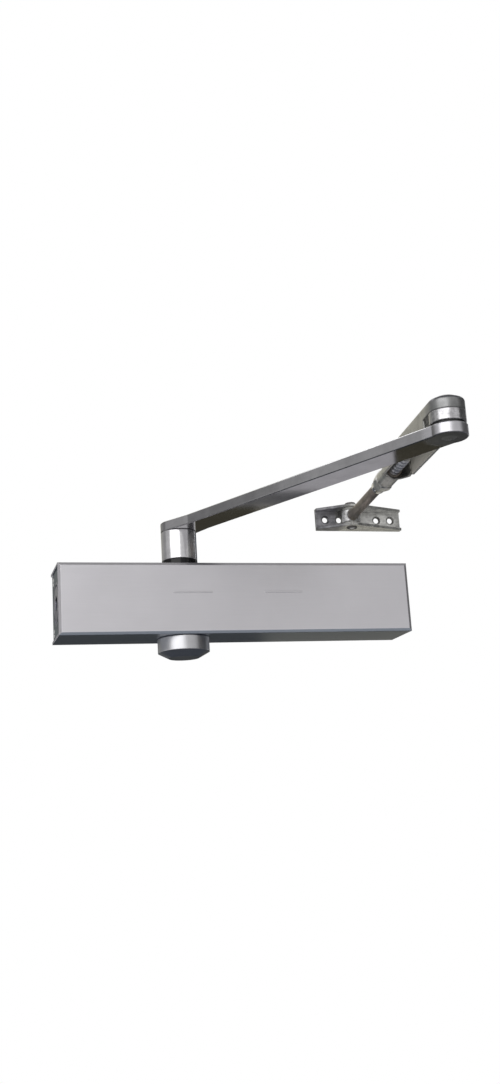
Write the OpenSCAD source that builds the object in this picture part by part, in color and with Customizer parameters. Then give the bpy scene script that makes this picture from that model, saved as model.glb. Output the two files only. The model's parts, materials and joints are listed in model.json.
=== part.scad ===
// Surface-mounted overhead door closer: rack-and-pinion body, link arm and frame shoe.
// The origin lies on the mounting face, in line with the spindle and at half the body's height.
// +X runs along the body, +Y into the door and +Z up the spindle.

/* [Body] */
// Length of the body
body_l = 294; // [280:1:320]
// Height of the body
body_h = 58; // [58:1:64]
// Depth of the body from the door to the front
body_d = 46; // [46:1:52]
// From the body's left end to the spindle axis
spindle_inset = 103; // [100:1:112]
// Wall of the clip-on cover
cover_wall = 2; // [1.5:0.1:2.5]
// How far the housing stops short of each end of the cover
end_recess = 1; // [0.5:0.5:3]
// Width of the cover's clip ribs
clip_w = 2; // [1.5:0.5:3]
// Height of the cover's clip ribs
clip_h = 1.2; // [0.8:0.1:1.5]
// From the mounting face to the clip ribs
clip_inset = 5; // [3:0.5:8]
// Width of the bevel around the cover's front
bevel_w = 2.2; // [1:0.1:3]
// Depth of the bevel around the cover's front
bevel_d = 1; // [0.4:0.1:1.2]
// Length of the raised line on the front
line_l = 108; // [70:1:140]
// Bare stretch in the middle of the raised line
line_gap = 44; // [20:1:50]
// Height of the raised line
line_w = 1.2; // [0.8:0.1:2]
// How far the line stands proud of the front
line_t = 0.4; // [0.2:0.1:0.8]
// Height of the line above the middle of the front
line_z = 4; // [-10:1:12]
// From the middle of the body to the middle of the line
line_shift = -1.5; // [-20:0.5:20]

/* [Mounting] */
// From a mounting hole to the housing's nearer end
mount_end = 20; // [19:0.5:22]
// From a mounting hole to the housing's upper or lower face
mount_edge = 5.7; // [5.2:0.1:5.7]
// Radius of a mounting hole
mount_hole_r = 2.75; // [2:0.05:2.8]
// Radius of the recess for a screw head
mount_head_r = 4.5; // [4:0.1:4.6]
// Depth of the recess for a screw head
mount_head_h = 6; // [4:0.5:8]

/* [Cylinder] */
// Radius of the cylinder bore
bore_r = 16; // [15.5:0.1:16.4]
// Radius of the end plugs
plug_r = 17.7; // [17:0.1:18]
// Length of the end plugs
plug_l = 14; // [12:1:15]
// Width across the flats of a plug's hexagon socket
plug_hex = 12; // [8:1:14]
// Depth of a plug's hexagon socket
plug_hex_h = 5; // [4:0.5:7]
// From a plug's rim to the groove in its face
plug_groove_inset = 2; // [1.5:0.1:3]
// Width of the groove in a plug's face
plug_groove_w = 1.5; // [1:0.1:2]
// Depth of the groove in a plug's face
plug_groove_h = 0.8; // [0.4:0.1:1.5]
// Thickness of a plug's sealing ring
ring_t = 1.6; // [1:0.1:2]
// Radius of the two regulating valves
valve_r = 3.5; // [3:0.1:4]
// Length of a valve
valve_l = 13; // [10:1:13]
// From a valve's axis to the housing's upper or lower face
valve_edge = 5.7; // [5:0.1:6.5]
// From the mounting face to a valve's axis
valve_depth = 7; // [6:0.5:9]
// Width of the valve's screwdriver slot
slot_w = 1.2; // [0.8:0.1:1.6]
// Depth of the valve's screwdriver slot
slot_h = 1.5; // [1:0.1:2.5]

/* [Rack and pinion] */
// Gear module
gear_m = 1.6; // [1.5:0.05:1.65]
// Teeth on the pinion
gear_teeth = 12; // [12:1:12]
// Pressure angle
gear_angle = 25; // [22:1:26]
// Play between the flanks
backlash = 0.12; // [0.08:0.01:0.2]
// Width of the pinion's teeth
pinion_w = 18; // [12:1:20]
// Travel of the piston over the arm's whole swing
piston_travel = 20; // [19.5:0.5:24]
// Room between the pinion and the ends of the piston's window
window_room = 1.5; // [1:0.1:4]
// Length of the piston's left head
head_l = 34; // [28:1:36]
// Length of the piston's right head
tail_l = 16; // [14:1:20]
// From the piston's left face to its sealing ring
piston_ring_inset = 5; // [4:0.5:8]
// Width of the groove for the piston's sealing ring
piston_ring_w = 3; // [2:0.1:4]
// Depth of the groove for the piston's sealing ring
piston_ring_h = 2; // [1.5:0.1:2.5]
// Radius of the ball in the piston's check valve
ball_r = 2.5; // [2:0.1:3]
// Radius of the oil passage behind the ball
passage_r = 1.5; // [1:0.1:1.8]

/* [Spring] */
// Wire of the outer spring
outer_wire = 4; // [3.5:0.1:4.2]
// Turns of the outer spring
outer_turns = 12; // [8:1:14]
// Wire of the inner spring
inner_wire = 2.8; // [2.4:0.1:3]
// Turns of the inner spring
inner_turns = 15; // [10:1:18]
// Radius of the spigots that centre the springs
spigot_r = 10.6; // [10.2:0.1:10.7]
// Length of the spigots
spigot_l = 6; // [4:1:8]
// Wall of the spigots
spigot_wall = 1.1; // [0.9:0.1:1.3]
// Depth of the pocket in the piston for the inner spring
pocket_h = 6; // [4:0.5:8]
// Play of the springs beside the spigots
spring_room = 0.4; // [0.2:0.1:0.5]
// Thickness of the spring seat
seat_t = 6; // [5:1:8]
// Room between the spring seat and the right plug
seat_room = 10; // [8:1:14]
// Radius of the power-adjusting screw
adjuster_r = 4; // [3.5:0.1:4.5]
// Radius of the adjusting screw's collar
adjuster_collar_r = 7.5; // [6.5:0.1:8]
// Thickness of the adjusting screw's collar
adjuster_collar_h = 5; // [4:0.5:6]
// Width across the flats of the adjusting screw's hexagon socket
adjuster_hex = 6; // [5:0.5:7]
// Depth of the adjusting screw's hexagon socket
adjuster_hex_h = 4; // [3:0.5:4.5]
// Reach of the adjusting screw past the seat
adjuster_reach = 24; // [16:1:30]

/* [Spindle] */
// Radius of the spindle
spindle_r = 7.5; // [7.3:0.1:7.6]
// Outer radius of a spindle bearing
bearing_r = 11; // [10.5:0.1:11.5]
// Share of the room beside the bore that a spindle bearing fills
bearing_share = 0.62; // [0.5:0.01:0.64]
// Outer radius of a shaft seal
seal_r = 10.4; // [10:0.1:10.8]
// Radius of a bearing plug
bearing_plug_r = 14.9; // [14:0.1:15]
// Floor between the bearing and the seal
bearing_lip = 0.8; // [0.5:0.1:1.2]
// Outer radius of the dust collars
collar_r = 14.6; // [14:0.1:14.8]
// How far a dust collar stands out of the cover
collar_out = 5.9; // [3:0.1:7.5]
// Room between the cap under the body and the door
cap_room = 2; // [1.5:0.1:4]
// Gap between the body and the cap
cap_gap = 0.2; // [0.2:0.05:0.5]
// Height of the cap's straight wall
cap_h = 11.4; // [10:0.1:14]
// Height of the cap's chamfer
cap_chamfer_h = 4.6; // [3:0.1:6]
// Radius of the cap's flat underside
cap_flat_r = 12.5; // [10:0.5:15]
// Wall of the cap
cap_wall = 2.2; // [1.8:0.1:3]
// Wall of the sleeve in the cap that grips the collar
cap_grip_wall = 1.5; // [1:0.1:2]
// Room between the spindle's lower end and the cap's chamfer
spindle_end_room = 2; // [1:0.1:3]

/* [Main arm] */
// Spindle axis to elbow axis
arm_l = 285; // [260:1:310]
// Width of the arm
arm_w = 24; // [20:0.5:26]
// Thickness of the arm
arm_t = 8; // [7:0.5:9]
// Height of the arm's underside above the middle of the body
arm_z = 59.5; // [57:0.5:64]
// Radius of the sleeve and of the arm's end around the spindle
hub_r = 14.6; // [13:0.1:15]
// Length over which the arm narrows from its round end to its width
flare_l = 27; // [20:1:40]
// Radius of the arm's round head at the elbow
arm_head_r = 13; // [12.5:0.1:14]
// Chamfer on the rims of turned pieces
rim = 0.4; // [0.2:0.1:0.6]
// Chamfer along the arm's edges
arm_chamfer = 0.6; // [0.3:0.1:1]
// Rest direction of the arm from +X
arm_angle = -62.8; // [-75:0.1:-50]
// Width across the square that drives the arm
square_w = 10.6; // [10:0.1:10.6]
// Radius of the arm screw's head
arm_screw_head_r = 8; // [7:0.1:8.5]
// Height of the arm screw's head
arm_screw_head_h = 4; // [3:0.1:4.5]
// How far the arm screw's head lies below the arm's top
arm_screw_sink = 0.2; // [0:0.1:0.5]
// Width across the flats of the arm screw's hexagon socket
arm_screw_hex = 5; // [4:0.5:6]
// Depth of the arm screw's hexagon socket
arm_screw_hex_h = 2.5; // [2:0.1:2.8]
// Radius of the arm screw's shank
arm_screw_r = 4; // [3:0.1:4]
// Length of the arm screw's shank
arm_screw_l = 20; // [16:1:24]

/* [Elbow] */
// Radius of the elbow pin
elbow_pin_r = 5; // [4:0.1:6]
// Radius of the elbow pin's head
elbow_head_r = 8; // [7:0.1:10]
// Height of the elbow pin's head
elbow_head_h = 1.3; // [1:0.1:3]
// Thickness of the dark washer on the arm
elbow_washer_t = 1.5; // [1:0.1:2]
// Radius of the dark washer on the arm
elbow_washer_r = 11.5; // [10:0.1:12]
// Radius of the bush and of the forearm's nose
nose_r = 12.5; // [12:0.1:13]
// Height of the bush between the washer and the nose
bush_h = 8; // [7:0.5:9]
// Height of the forearm's nose
nose_h = 9; // [8:0.5:10]

/* [Forearm] */
// Rest direction of the forearm from +X
fore_angle = 84.2; // [70:0.1:100]
// Elbow axis to shoe axis with the rod half out
fore_l = 263.4; // [245:0.1:290]
// Sheet of the forearm
sheet_t = 1.8; // [1.5:0.1:2.2]
// Depth of the forearm's side walls
side_h = 15; // [13:0.5:17]
// Length of the channel up to its neck
channel_l = 118; // [105:1:122]
// Rounding of the channel's long edges
channel_round = 2.5; // [2:0.1:3]
// Length of the neck's cone
neck_l = 10; // [8:1:14]
// Outer radius of the neck's tube
neck_r = 7.4; // [7:0.1:8]
// Length of the neck's tube
neck_tube_l = 22; // [16:1:26]
// From the forearm's top face down to the rod's axis
rod_drop = 8.2; // [8:0.1:8.4]
// Radius of the adjusting rod
rod_r = 4.4; // [4:0.1:4.6]
// Room between the nose and the start of the deep side walls
step_room = 1.5; // [1:0.5:10]
// Reach of the socket into the neck's cone
socket_back = 1; // [0.5:0.5:3]
// Reach of the socket past the neck
socket_l = 14; // [10:1:20]
// Wall of the socket around the rod
socket_wall = 1.6; // [1.2:0.1:2]
// Width across the flats of the clamp nut
nut_flats = 14.2; // [14:0.1:15]
// Bevel on the clamp nut's inner end
nut_bevel = 1.6; // [1:0.1:2]
// How far the clamp nut's outer end draws in
nut_taper = 2.6; // [2:0.1:2.8]
// Length over which the clamp nut's outer end draws in
nut_taper_l = 10; // [4:0.5:12]
// Gap between the neck's tube and the clamp nut
nut_gap = 1; // [0.5:0.1:2]
// Length of the clamp nut
nut_l = 23; // [18:1:26]
// Length of rod held inside the forearm at rest
rod_held = 66; // [60:1:85]
// Radius of the rod's eye
eye_r = 8; // [7:0.1:9]
// Height of the rod's eye
eye_h = 11; // [10:0.5:13]

/* [Shoe] */
// From the shoe's left end to its pivot
shoe_left = 29; // [26:1:42]
// From the shoe's right end to its pivot
shoe_right = 49.5; // [47:0.5:56]
// Height of the shoe
shoe_h = 19; // [18:0.5:19.5]
// Sheet of the shoe
shoe_t = 2.2; // [1.8:0.1:2.6]
// From the shoe's back face to its pivot
shoe_depth = 13; // [12:0.5:16]
// Depth of the shoe's flanges at their ends
flange_end = 5.5; // [4:0.5:8]
// Radius of the flanges around the pivot
flange_r = 9.5; // [8:0.5:12]
// Radius of the shoe's pivot pin
pivot_r = 4; // [3.5:0.1:4.5]
// Radius of the pin's head under the shoe
pivot_head_r = 4.6; // [4.2:0.1:5.5]
// Height of the pin's head under the shoe
pivot_head_h = 1.2; // [0.8:0.1:1.4]
// How far the pin stands out above the shoe
pivot_out = 3.2; // [2:0.1:5]
// Radius of the bushes on the pivot pin
shoe_bush_r = 7; // [6:0.1:8]
// Radius of a fixing hole
shoe_hole_r = 2.4; // [2:0.1:2.7]
// Radius of the countersink around a fixing hole
shoe_sink_r = 3.8; // [3:0.1:4.2]
// Depth of the countersinks
shoe_sink_h = 1.3; // [1:0.1:1.5]
// Outer fixing holes, centre to centre
shoe_pitch_outer = 61; // [58:1:66]
// Inner fixing holes, centre to centre
shoe_pitch_inner = 35; // [32:1:38]

/* [Clearances] */
// Play of a turning or sliding fit, on the radius
fit = 0.05; // [0.03:0.01:0.08]
// Gap between fixed pieces that slip into each other
slip = 0.1; // [0.05:0.05:0.2]
// Gap between the cover and the housing, and between moving faces
gap = 0.3; // [0.2:0.05:0.5]

/* [Hidden] */
$fn = 96;
over = 0.5;
tuck = 0.05;
body_x0 = -spindle_inset;
body_x1 = body_l - spindle_inset;
hous_x0 = body_x0 + end_recess;
hous_x1 = body_x1 - end_recess;
hous_h = body_h - 2 * (cover_wall + gap);
hous_d = body_d - cover_wall - gap;
body_mid = (body_x0 + body_x1) / 2;
axis_depth = body_d / 2;
mount_pitch_x = hous_x1 - hous_x0 - 2 * mount_end;
mount_pitch_z = hous_h - 2 * mount_edge;
valve_z = hous_h / 2 - valve_edge;

pitch_r = gear_m * gear_teeth / 2;
tip_r = pitch_r + gear_m;
root_r = pitch_r - 1.25 * gear_m;
base_r = pitch_r * cos(gear_angle);
rack_pitch = PI * gear_m;
rack_root = pitch_r + 1.25 * gear_m;
window_x0 = -(tip_r + window_room + piston_travel);
window_x1 = tip_r + window_room;
piston_x0 = window_x0 - head_l;
piston_x1 = window_x1 + tail_l;
piston_r = bore_r - fit;
ring_floor_r = piston_r - piston_ring_h;

plug_hole_r = plug_r + fit;
seat_x1 = hous_x1 - plug_l - seat_room;
seat_x0 = seat_x1 - seat_t;
spring_x1 = seat_x0;
outer_mid_r = spigot_r + spring_room + outer_wire / 2;
inner_mid_r = spigot_r - spigot_wall - spring_room / 2 - inner_wire / 2;
closed_pitch = 1.04;

bearing_hole_r = bearing_plug_r + slip;
bearing_z0 = bore_r + gap;
bearing_h = bearing_share * (hous_h / 2 - bearing_z0);
bearing_z1 = bearing_z0 + bearing_h + slip;
collar_z1 = body_h / 2 + collar_out;
cap_z0 = body_h / 2 + cap_gap;
cap_r = axis_depth - cap_room;

arm_top = arm_z + arm_t;
flare_reach = norm([flare_l, arm_w / 2]);
flare_turn = asin((hub_r - tuck) / flare_reach) - atan2(arm_w / 2, flare_l);
screw_seat_z = arm_top - arm_screw_head_h - arm_screw_sink;
elbow = [arm_l * cos(arm_angle), arm_l * sin(arm_angle) - axis_depth];
bush_z0 = arm_top + elbow_washer_t;
nose_z0 = bush_z0 + bush_h;
fore_top = nose_z0 + nose_h;
fore_low = fore_top - side_h;
rod_z = fore_top - rod_drop;
pivot = elbow + fore_l * [cos(fore_angle), sin(fore_angle)];
neck_x = channel_l + neck_l;
socket_x0 = neck_x - socket_back;
socket_x1 = neck_x + neck_tube_l + socket_l;
socket_r = rod_r + fit + socket_wall;
nut_x0 = neck_x + neck_tube_l + nut_gap;
shoe_z0 = rod_z - shoe_h / 2;
shoe_mid = (shoe_right - shoe_left) / 2;
sink_mouth_r = shoe_sink_r + (shoe_sink_r - shoe_hole_r) * over / shoe_sink_h;

// Placing

module on_bore_axis(x) {
    translate([x, -axis_depth, 0]) rotate([0, 90, 0]) children();
}

module on_spindle() {
    translate([0, -axis_depth, 0]) children();
}

module along_arm() {
    on_spindle() rotate(arm_angle) children();
}

module at_elbow() {
    translate([elbow[0], elbow[1], 0]) rotate(fore_angle) children();
}

module along_x(x) {
    translate([x, 0, rod_z]) rotate([0, 90, 0]) children();
}

module along_rod(x) {
    at_elbow() along_x(x) children();
}

module at_shoe() {
    translate([pivot[0], pivot[1], 0]) children();
}

// Shapes that several pieces share

module ring(r_out, r_in, h) {
    difference() {
        cylinder(h = h, r = r_out);
        translate([0, 0, -over]) cylinder(h = h + 2 * over, r = r_in);
    }
}

module hex_prism(flats, h) {
    cylinder(h = h, r = flats / 2 / cos(30), $fn = 6);
}

module square_prism(w, h) {
    translate([-w / 2, -w / 2, 0]) cube([w, w, h]);
}

// A disc with both rims chamfered
module chamfered_disc(r, h, c) {
    rotate_extrude() polygon([[0, 0], [r - c, 0], [r, c], [r, h - c], [r - c, h], [0, h]]);
}

// Body

module housing() {
    color("dimgray") difference() {
        translate([hous_x0, -hous_d, -hous_h / 2]) cube([hous_x1 - hous_x0, hous_d, hous_h]);
        on_bore_axis(hous_x0 - over) cylinder(h = hous_x1 - hous_x0 + 2 * over, r = bore_r);
        for (x = [hous_x0 - over, hous_x1 - plug_l])
            on_bore_axis(x) cylinder(h = plug_l + over, r = plug_hole_r);
        on_spindle() for (side = [0, 1]) mirror([0, 0, side])
            cylinder(h = body_h, r = bearing_hole_r);
        mounting_holes();
        for (side = [-1, 1]) valve_place(side) cylinder(h = valve_l + over, r = valve_r + fit);
        for (side = [-1, 1]) clip_groove(side);
    }
}

module mounting_holes() {
    for (x = [-1, 1], z = [-1, 1])
        translate([body_mid + x * mount_pitch_x / 2, over, z * mount_pitch_z / 2]) rotate([90, 0, 0]) {
            cylinder(h = hous_d + 2 * over, r = mount_hole_r, $fn = 48);
            translate([0, 0, hous_d + over - mount_head_h])
                cylinder(h = mount_head_h + over, r = mount_head_r, $fn = 48);
        }
}

// The valve's mouth is at the housing's left end
module valve_place(side) {
    translate([hous_x0 + valve_l, -valve_depth, side * valve_z]) rotate([0, -90, 0]) children();
}

module clip_groove(side) {
    depth = clip_h;
    z = side > 0 ? hous_h / 2 - depth : -hous_h / 2 - over;
    translate([hous_x0 - over, -clip_inset - clip_w - gap, z])
        cube([hous_x1 - hous_x0 + 2 * over, clip_w + 2 * gap, depth + over]);
}

// Section of the cover, drawn as depth and height
module cover_section() {
    h = body_h / 2;
    difference() {
        polygon([
            [body_d, -h], [bevel_d, -h], [0, bevel_w - h], [0, h - bevel_w], [bevel_d, h], [body_d, h]
        ]);
        translate([cover_wall, cover_wall - h]) square([body_d, body_h - 2 * cover_wall]);
    }
    for (side = [-1, 1])
        translate([body_d - clip_inset - clip_w, side * (body_h / 2 - cover_wall - clip_h / 2 + 0.1) - clip_h / 2])
            square([clip_w, clip_h]);
}

module cover() {
    dash_l = (line_l - line_gap) / 2;
    dash_x = body_mid + line_shift - dash_l / 2;
    color([0.75, 0.74, 0.76]) {
        difference() {
            translate([body_x0, -body_d, 0]) rotate([90, 0, 90]) linear_extrude(body_l) cover_section();
            on_spindle() for (side = [0, 1]) mirror([0, 0, side]) translate([0, 0, hous_h / 2 - clip_h])
                spindle_slot();
            for (side = [0, 1]) translate([body_mid, -body_d, 0]) mirror([side, 0, 0]) end_bevel();
        }
        for (side = [-1, 1])
            translate([dash_x + side * (line_gap + dash_l) / 2, -body_d - line_t, line_z])
                cube([dash_l, line_t, line_w]);
    }
}

// What the bevel takes off the front at one end of the cover
module end_bevel() {
    x = body_l / 2;
    translate([0, 0, -body_h]) linear_extrude(2 * body_h) polygon([
        [x - bevel_w, 0], [x - bevel_w, -over], [x + over, -over], [x + over, bevel_d], [x, bevel_d]
    ]);
}

// Open at the back, so that the cover slips over the collars
module spindle_slot() {
    r = collar_r + gap;
    cylinder(h = body_h / 2, r = r);
    translate([-r, 0, 0]) cube([2 * r, axis_depth + over, body_h / 2]);
}

module plug_body(h) {
    groove_r = plug_r - plug_groove_inset;
    difference() {
        cylinder(h = h, r = plug_r);
        translate([0, 0, h - plug_hex_h]) hex_prism(plug_hex, plug_hex_h + over);
        translate([0, 0, h - plug_groove_h]) ring(groove_r, groove_r - plug_groove_w, plug_groove_h + over);
        translate([0, 0, ring_t]) ring(plug_r + 1, plug_r - ring_t, ring_t);
    }
}

module left_plug() {
    color("gray") on_bore_axis(hous_x0 + plug_l) mirror([0, 0, 1]) plug_body(plug_l - slip);
}

module right_plug() {
    color("gray") difference() {
        on_bore_axis(hous_x1 - plug_l) plug_body(plug_l - slip);
        on_bore_axis(hous_x1 - plug_l - over)
            cylinder(h = adjuster_collar_h + slip + over, r = adjuster_collar_r + fit);
    }
}

module plug_seals() {
    color("black") {
        for (x = [hous_x0 + plug_l - 2 * ring_t, hous_x1 - plug_l + ring_t])
            on_bore_axis(x + slip / 2) ring(plug_r, plug_r - ring_t + slip, ring_t - slip);
    }
}

module valve() {
    difference() {
        cylinder(h = valve_l, r = valve_r);
        translate([-slot_w / 2, -valve_r - over, valve_l - slot_h])
            cube([slot_w, 2 * (valve_r + over), slot_h + over]);
    }
}

module closing_valve() {
    color("gainsboro") valve_place(1) valve();
}

module latching_valve() {
    color("gainsboro") valve_place(-1) valve();
}

// Spindle bearings and seals, drawn for the upper side and mirrored for the lower

module bearing_plug() {
    z2 = bearing_z1 + bearing_lip;
    top = hous_h / 2;
    rotate_extrude() polygon([
        [bearing_r + slip, bearing_z0], [bearing_plug_r, bearing_z0], [bearing_plug_r, top],
        [seal_r + slip, top], [seal_r + slip, z2], [spindle_r + gap, z2],
        [spindle_r + gap, bearing_z1], [bearing_r + slip, bearing_z1]
    ]);
}

module bearing() {
    translate([0, 0, bearing_z1 - bearing_h]) ring(bearing_r, spindle_r + fit, bearing_h);
}

module shaft_seal() {
    z2 = bearing_z1 + bearing_lip;
    translate([0, 0, z2]) ring(seal_r, spindle_r + fit, hous_h / 2 - z2);
}

module collar() {
    translate([0, 0, hous_h / 2]) ring(collar_r, spindle_r + slip, collar_z1 - hous_h / 2);
}

module upper_bearing_plug() {
    color("gray") on_spindle() bearing_plug();
}

module lower_bearing_plug() {
    color("gray") on_spindle() mirror([0, 0, 1]) bearing_plug();
}

module upper_bearing() {
    color("silver") on_spindle() bearing();
}

module lower_bearing() {
    color("silver") on_spindle() mirror([0, 0, 1]) bearing();
}

module upper_seal() {
    color("black") on_spindle() shaft_seal();
}

module lower_seal() {
    color("black") on_spindle() mirror([0, 0, 1]) shaft_seal();
}

module upper_collar() {
    color([0.08, 0.08, 0.09]) on_spindle() collar();
}

module lower_collar() {
    color([0.08, 0.08, 0.09]) on_spindle() mirror([0, 0, 1]) collar();
}

// A shell with an inner sleeve that grips the lower collar
module spindle_cap() {
    r = cap_r;
    wall = cap_wall;
    top = cap_z0;
    knee = cap_z0 + cap_h;
    end = knee + cap_chamfer_h;
    grip_end = knee + cap_chamfer_h / 2 - rim;
    color("silver") on_spindle() mirror([0, 0, 1]) {
        rotate_extrude() polygon([
            [r - wall, top], [r - rim, top], [r, top + rim], [r, knee], [cap_flat_r, end], [0, end],
            [0, end - wall], [cap_flat_r - wall / 2, end - wall], [r - wall, knee - wall / 2]
        ]);
        translate([0, 0, top]) ring(collar_r + slip + cap_grip_wall, collar_r + slip, grip_end - top);
    }
}

// Rack, pinion and piston

// Half the angle that a tooth fills at radius r
function involute(a) = tan(a) * 180 / PI - a;
function tooth_half(r) = (rack_pitch / 4 - backlash / 4) / pitch_r * 180 / PI
    + involute(gear_angle) - (r > base_r ? involute(acos(base_r / r)) : 0);
function polar(r, a) = [r * cos(a), r * sin(a)];
flank_steps = 5;
flank = [for (i = [0:flank_steps]) root_r + (tip_r - root_r) * i / flank_steps];

module pinion_teeth() {
    step = 360 / gear_teeth;
    polygon([for (k = [0:gear_teeth - 1]) each concat(
        [for (i = [0:flank_steps]) polar(flank[i], k * step - tooth_half(flank[i]))],
        [for (i = [flank_steps:-1:0]) polar(flank[i], k * step + tooth_half(flank[i]))]
    )]);
}

module spindle_pinion() {
    below = cap_z0 + cap_h - spindle_end_room;
    color("darkgray") on_spindle() difference() {
        union() {
            translate([0, 0, -pinion_w / 2]) linear_extrude(pinion_w) pinion_teeth();
            translate([0, 0, -collar_z1]) cylinder(h = 2 * collar_z1, r = spindle_r);
            translate([0, 0, collar_z1 - over]) rotate(arm_angle)
                square_prism(square_w, screw_seat_z - slip - collar_z1 + over);
            translate([0, 0, -below]) square_prism(square_w, below - collar_z1 + over);
        }
        translate([0, 0, screw_seat_z - arm_screw_l - over])
            cylinder(h = arm_screw_l + 2 * over, r = arm_screw_r + fit, $fn = 48);
    }
}

module rack_tooth() {
    half = rack_pitch / 4 - backlash / 4;
    slope = tan(gear_angle);
    tip = pitch_r - gear_m;
    polygon([
        [-half - (rack_root - pitch_r) * slope, rack_root], [half + (rack_root - pitch_r) * slope, rack_root],
        [half - gear_m * slope, tip], [gear_m * slope - half, tip]
    ]);
}

// The window that the pinion stands in, with the rack along its back edge
module piston_window() {
    front = tip_r + window_room / 2;
    teeth_left = floor(-window_x0 / rack_pitch);
    teeth_right = floor(window_x1 / rack_pitch);
    difference() {
        translate([window_x0, -front]) square([window_x1 - window_x0, front + rack_root]);
        for (k = [-teeth_left:teeth_right - 1])
            translate([(k + 0.5) * rack_pitch, 0]) rack_tooth();
    }
}

module rack_piston() {
    color("lightslategray") difference() {
        union() {
            on_bore_axis(piston_x0) cylinder(h = piston_x1 - piston_x0, r = piston_r);
            on_bore_axis(piston_x1 - over) cylinder(h = spigot_l + over, r = spigot_r);
        }
        on_spindle() translate([0, 0, -bore_r]) linear_extrude(2 * bore_r) piston_window();
        on_bore_axis(piston_x0 + piston_ring_inset) ring(bore_r + over, ring_floor_r, piston_ring_w);
        on_bore_axis(piston_x0 - over) cylinder(h = head_l + 2 * over, r = passage_r, $fn = 32);
        on_bore_axis(piston_x0 - over) cylinder(h = 3 * ball_r + over, r = ball_r + slip, $fn = 48);
        on_bore_axis(piston_x1 - pocket_h)
            cylinder(h = pocket_h + spigot_l + over, r = spigot_r - spigot_wall);
    }
}

module piston_seal() {
    color("black") on_bore_axis(piston_x0 + piston_ring_inset + slip / 2)
        ring(piston_r, ring_floor_r + slip, piston_ring_w - slip);
}

module check_ball() {
    color("silver") translate([piston_x0 + 2 * ball_r - fit, -axis_depth, 0]) sphere(r = ball_r, $fn = 48);
}

// Springs

// Height of a coil's centre line, with one closed turn at each end
function coil_rise(u, turns, wire, length) =
    let (closed = wire * closed_pitch, open = (length - wire - 2 * closed) / (turns - 2))
    u < 1 ? u * closed : u > turns - 1 ? length - wire - (turns - u) * closed : closed + (u - 1) * open;

module coil(r, wire, length, turns, steps, sides) {
    count = turns * steps;
    points = [for (i = [0:count], j = [0:sides - 1])
        let (a = 360 * i / steps, b = 360 * j / sides, q = r + wire / 2 * cos(b))
        [q * cos(a), q * sin(a), wire / 2 + coil_rise(i / steps, turns, wire, length) + wire / 2 * sin(b)]];
    walls = [for (i = [0:count - 1], j = [0:sides - 1])
        let (n = (j + 1) % sides, p = i * sides, q = p + sides)
        each [[p + j, p + n, q + n], [p + j, q + n, q + j]]];
    last = count * sides;
    polyhedron(points, concat(walls,
        [[for (j = [sides - 1:-1:0]) j]], [[for (j = [0:sides - 1]) last + j]]));
}

module outer_spring() {
    x = piston_x1 + slip;
    color("goldenrod") on_bore_axis(x)
        coil(outer_mid_r, outer_wire, spring_x1 - slip - x, outer_turns, 18, 8);
}

module inner_spring() {
    x = piston_x1 - pocket_h + slip;
    color("goldenrod") on_bore_axis(x)
        coil(inner_mid_r, inner_wire, spring_x1 - slip - x, inner_turns, 14, 6);
}

module spring_seat() {
    color("gray") difference() {
        union() {
            on_bore_axis(seat_x0) cylinder(h = seat_t, r = bore_r - slip);
            on_bore_axis(seat_x0 - spigot_l) ring(spigot_r, spigot_r - spigot_wall, spigot_l + over);
        }
        on_bore_axis(seat_x0 - over) cylinder(h = seat_t + 2 * over, r = adjuster_r + fit, $fn = 48);
    }
}

module power_screw() {
    plug_face = hous_x1 - plug_l;
    x0 = seat_x0 - adjuster_reach;
    color("silver") difference() {
        union() {
            on_bore_axis(x0) cylinder(h = plug_face - x0 + over, r = adjuster_r, $fn = 48);
            on_bore_axis(plug_face) cylinder(h = adjuster_collar_h, r = adjuster_collar_r);
        }
        on_bore_axis(plug_face + adjuster_collar_h - adjuster_hex_h)
            hex_prism(adjuster_hex, adjuster_hex_h + over);
    }
}

// Main arm

module arm_sleeve() {
    z0 = collar_z1 + gap;
    color("silver") along_arm() difference() {
        translate([0, 0, z0]) chamfered_disc(hub_r, arm_z - z0, rim);
        translate([0, 0, z0 - over]) square_prism(square_w + 2 * slip, arm_z - z0 + 2 * over);
    }
}

// One half of a bar along X with chamfered edges
module half_bar(w, l, t) {
    c = arm_chamfer;
    translate([0, 0, arm_z + (arm_t - t) / 2]) rotate([90, 0, 90]) linear_extrude(l) polygon([
        [0, 0], [w - c, 0], [w, c], [w, t - c], [w - c, t], [0, t]
    ]);
}

module main_arm() {
    c = arm_chamfer;
    w = arm_w / 2;
    color([0.66, 0.66, 0.68]) along_arm() difference() {
        union() {
            translate([0, 0, arm_z]) chamfered_disc(hub_r, arm_t, c);
            translate([arm_l, 0, arm_z]) chamfered_disc(arm_head_r, arm_t, c);
            for (side = [0, 1]) mirror([0, side, 0]) {
                half_bar(w, arm_l, arm_t);
                rotate(-flare_turn) half_bar(hub_r - tuck, flare_reach + w, arm_t - 2 * tuck);
            }
        }
        translate([0, 0, arm_z - over]) square_prism(square_w + 2 * slip, arm_t);
        translate([0, 0, screw_seat_z]) cylinder(h = arm_t, r = arm_screw_head_r + slip);
        translate([arm_l, 0, arm_z - over]) cylinder(h = arm_t + 2 * over, r = elbow_pin_r);
    }
}

module arm_screw() {
    color("silver") along_arm() difference() {
        union() {
            translate([0, 0, screw_seat_z]) chamfered_disc(arm_screw_head_r, arm_screw_head_h, rim);
            translate([0, 0, screw_seat_z - arm_screw_l])
                cylinder(h = arm_screw_l + over, r = arm_screw_r, $fn = 48);
        }
        translate([0, 0, screw_seat_z + arm_screw_head_h - arm_screw_hex_h])
            hex_prism(arm_screw_hex, arm_screw_hex_h + over);
    }
}

// Elbow

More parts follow.
